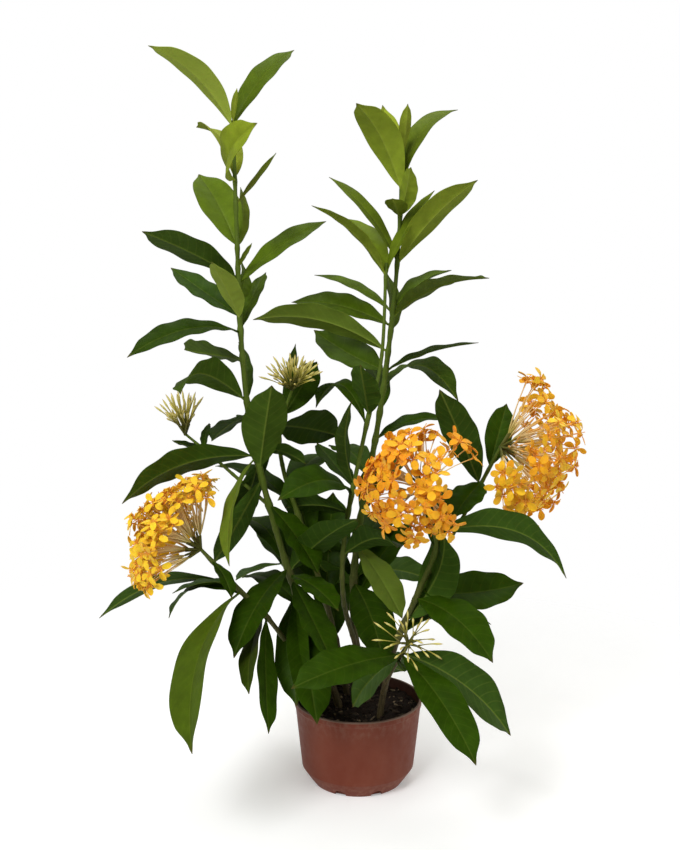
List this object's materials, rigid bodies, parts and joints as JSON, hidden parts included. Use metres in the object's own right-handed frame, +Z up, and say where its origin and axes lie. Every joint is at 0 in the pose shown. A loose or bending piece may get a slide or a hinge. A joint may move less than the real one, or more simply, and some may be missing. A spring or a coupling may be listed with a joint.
{
  "type": "potted ixora",
  "caption": "Flowering ixora house plant in a plain terracotta-coloured nursery pot, with leafy stems, domed orange flower heads and unopened bud clusters.",
  "frame": {"origin": "middle of the flat underside of the pot, where it stands", "axes": "+Z up along the pot's axis, -Y towards the side seen from the front, +X to that side's right"},
  "size_m": [0.4418, 0.2977, 0.6739],
  "materials": {
    "pot_plastic": "matte moulded polypropylene, reddish brown",
    "potting_soil": "moist peat with bark bits",
    "foliage": "glossy leaf",
    "yellow_petal": "soft matte petal, yellow-orange",
    "orange_petal": "soft matte petal, orange",
    "bud": "soft waxy bud, yellow-green"
  },
  "bodies": {
    "root": {"pot": "pot_plastic", "soil": "potting_soil", "leafy_stem_left": "foliage", "leafy_stem_right": "foliage", "leafy_stem_front": "foliage", "leafy_stem_back": "foliage", "bloom_left": "yellow_petal", "bloom_middle": "orange_petal", "bloom_right": "orange_petal", "buds_left": "bud", "buds_middle": "bud", "buds_front": "bud"}
  },
  "joints": []
}
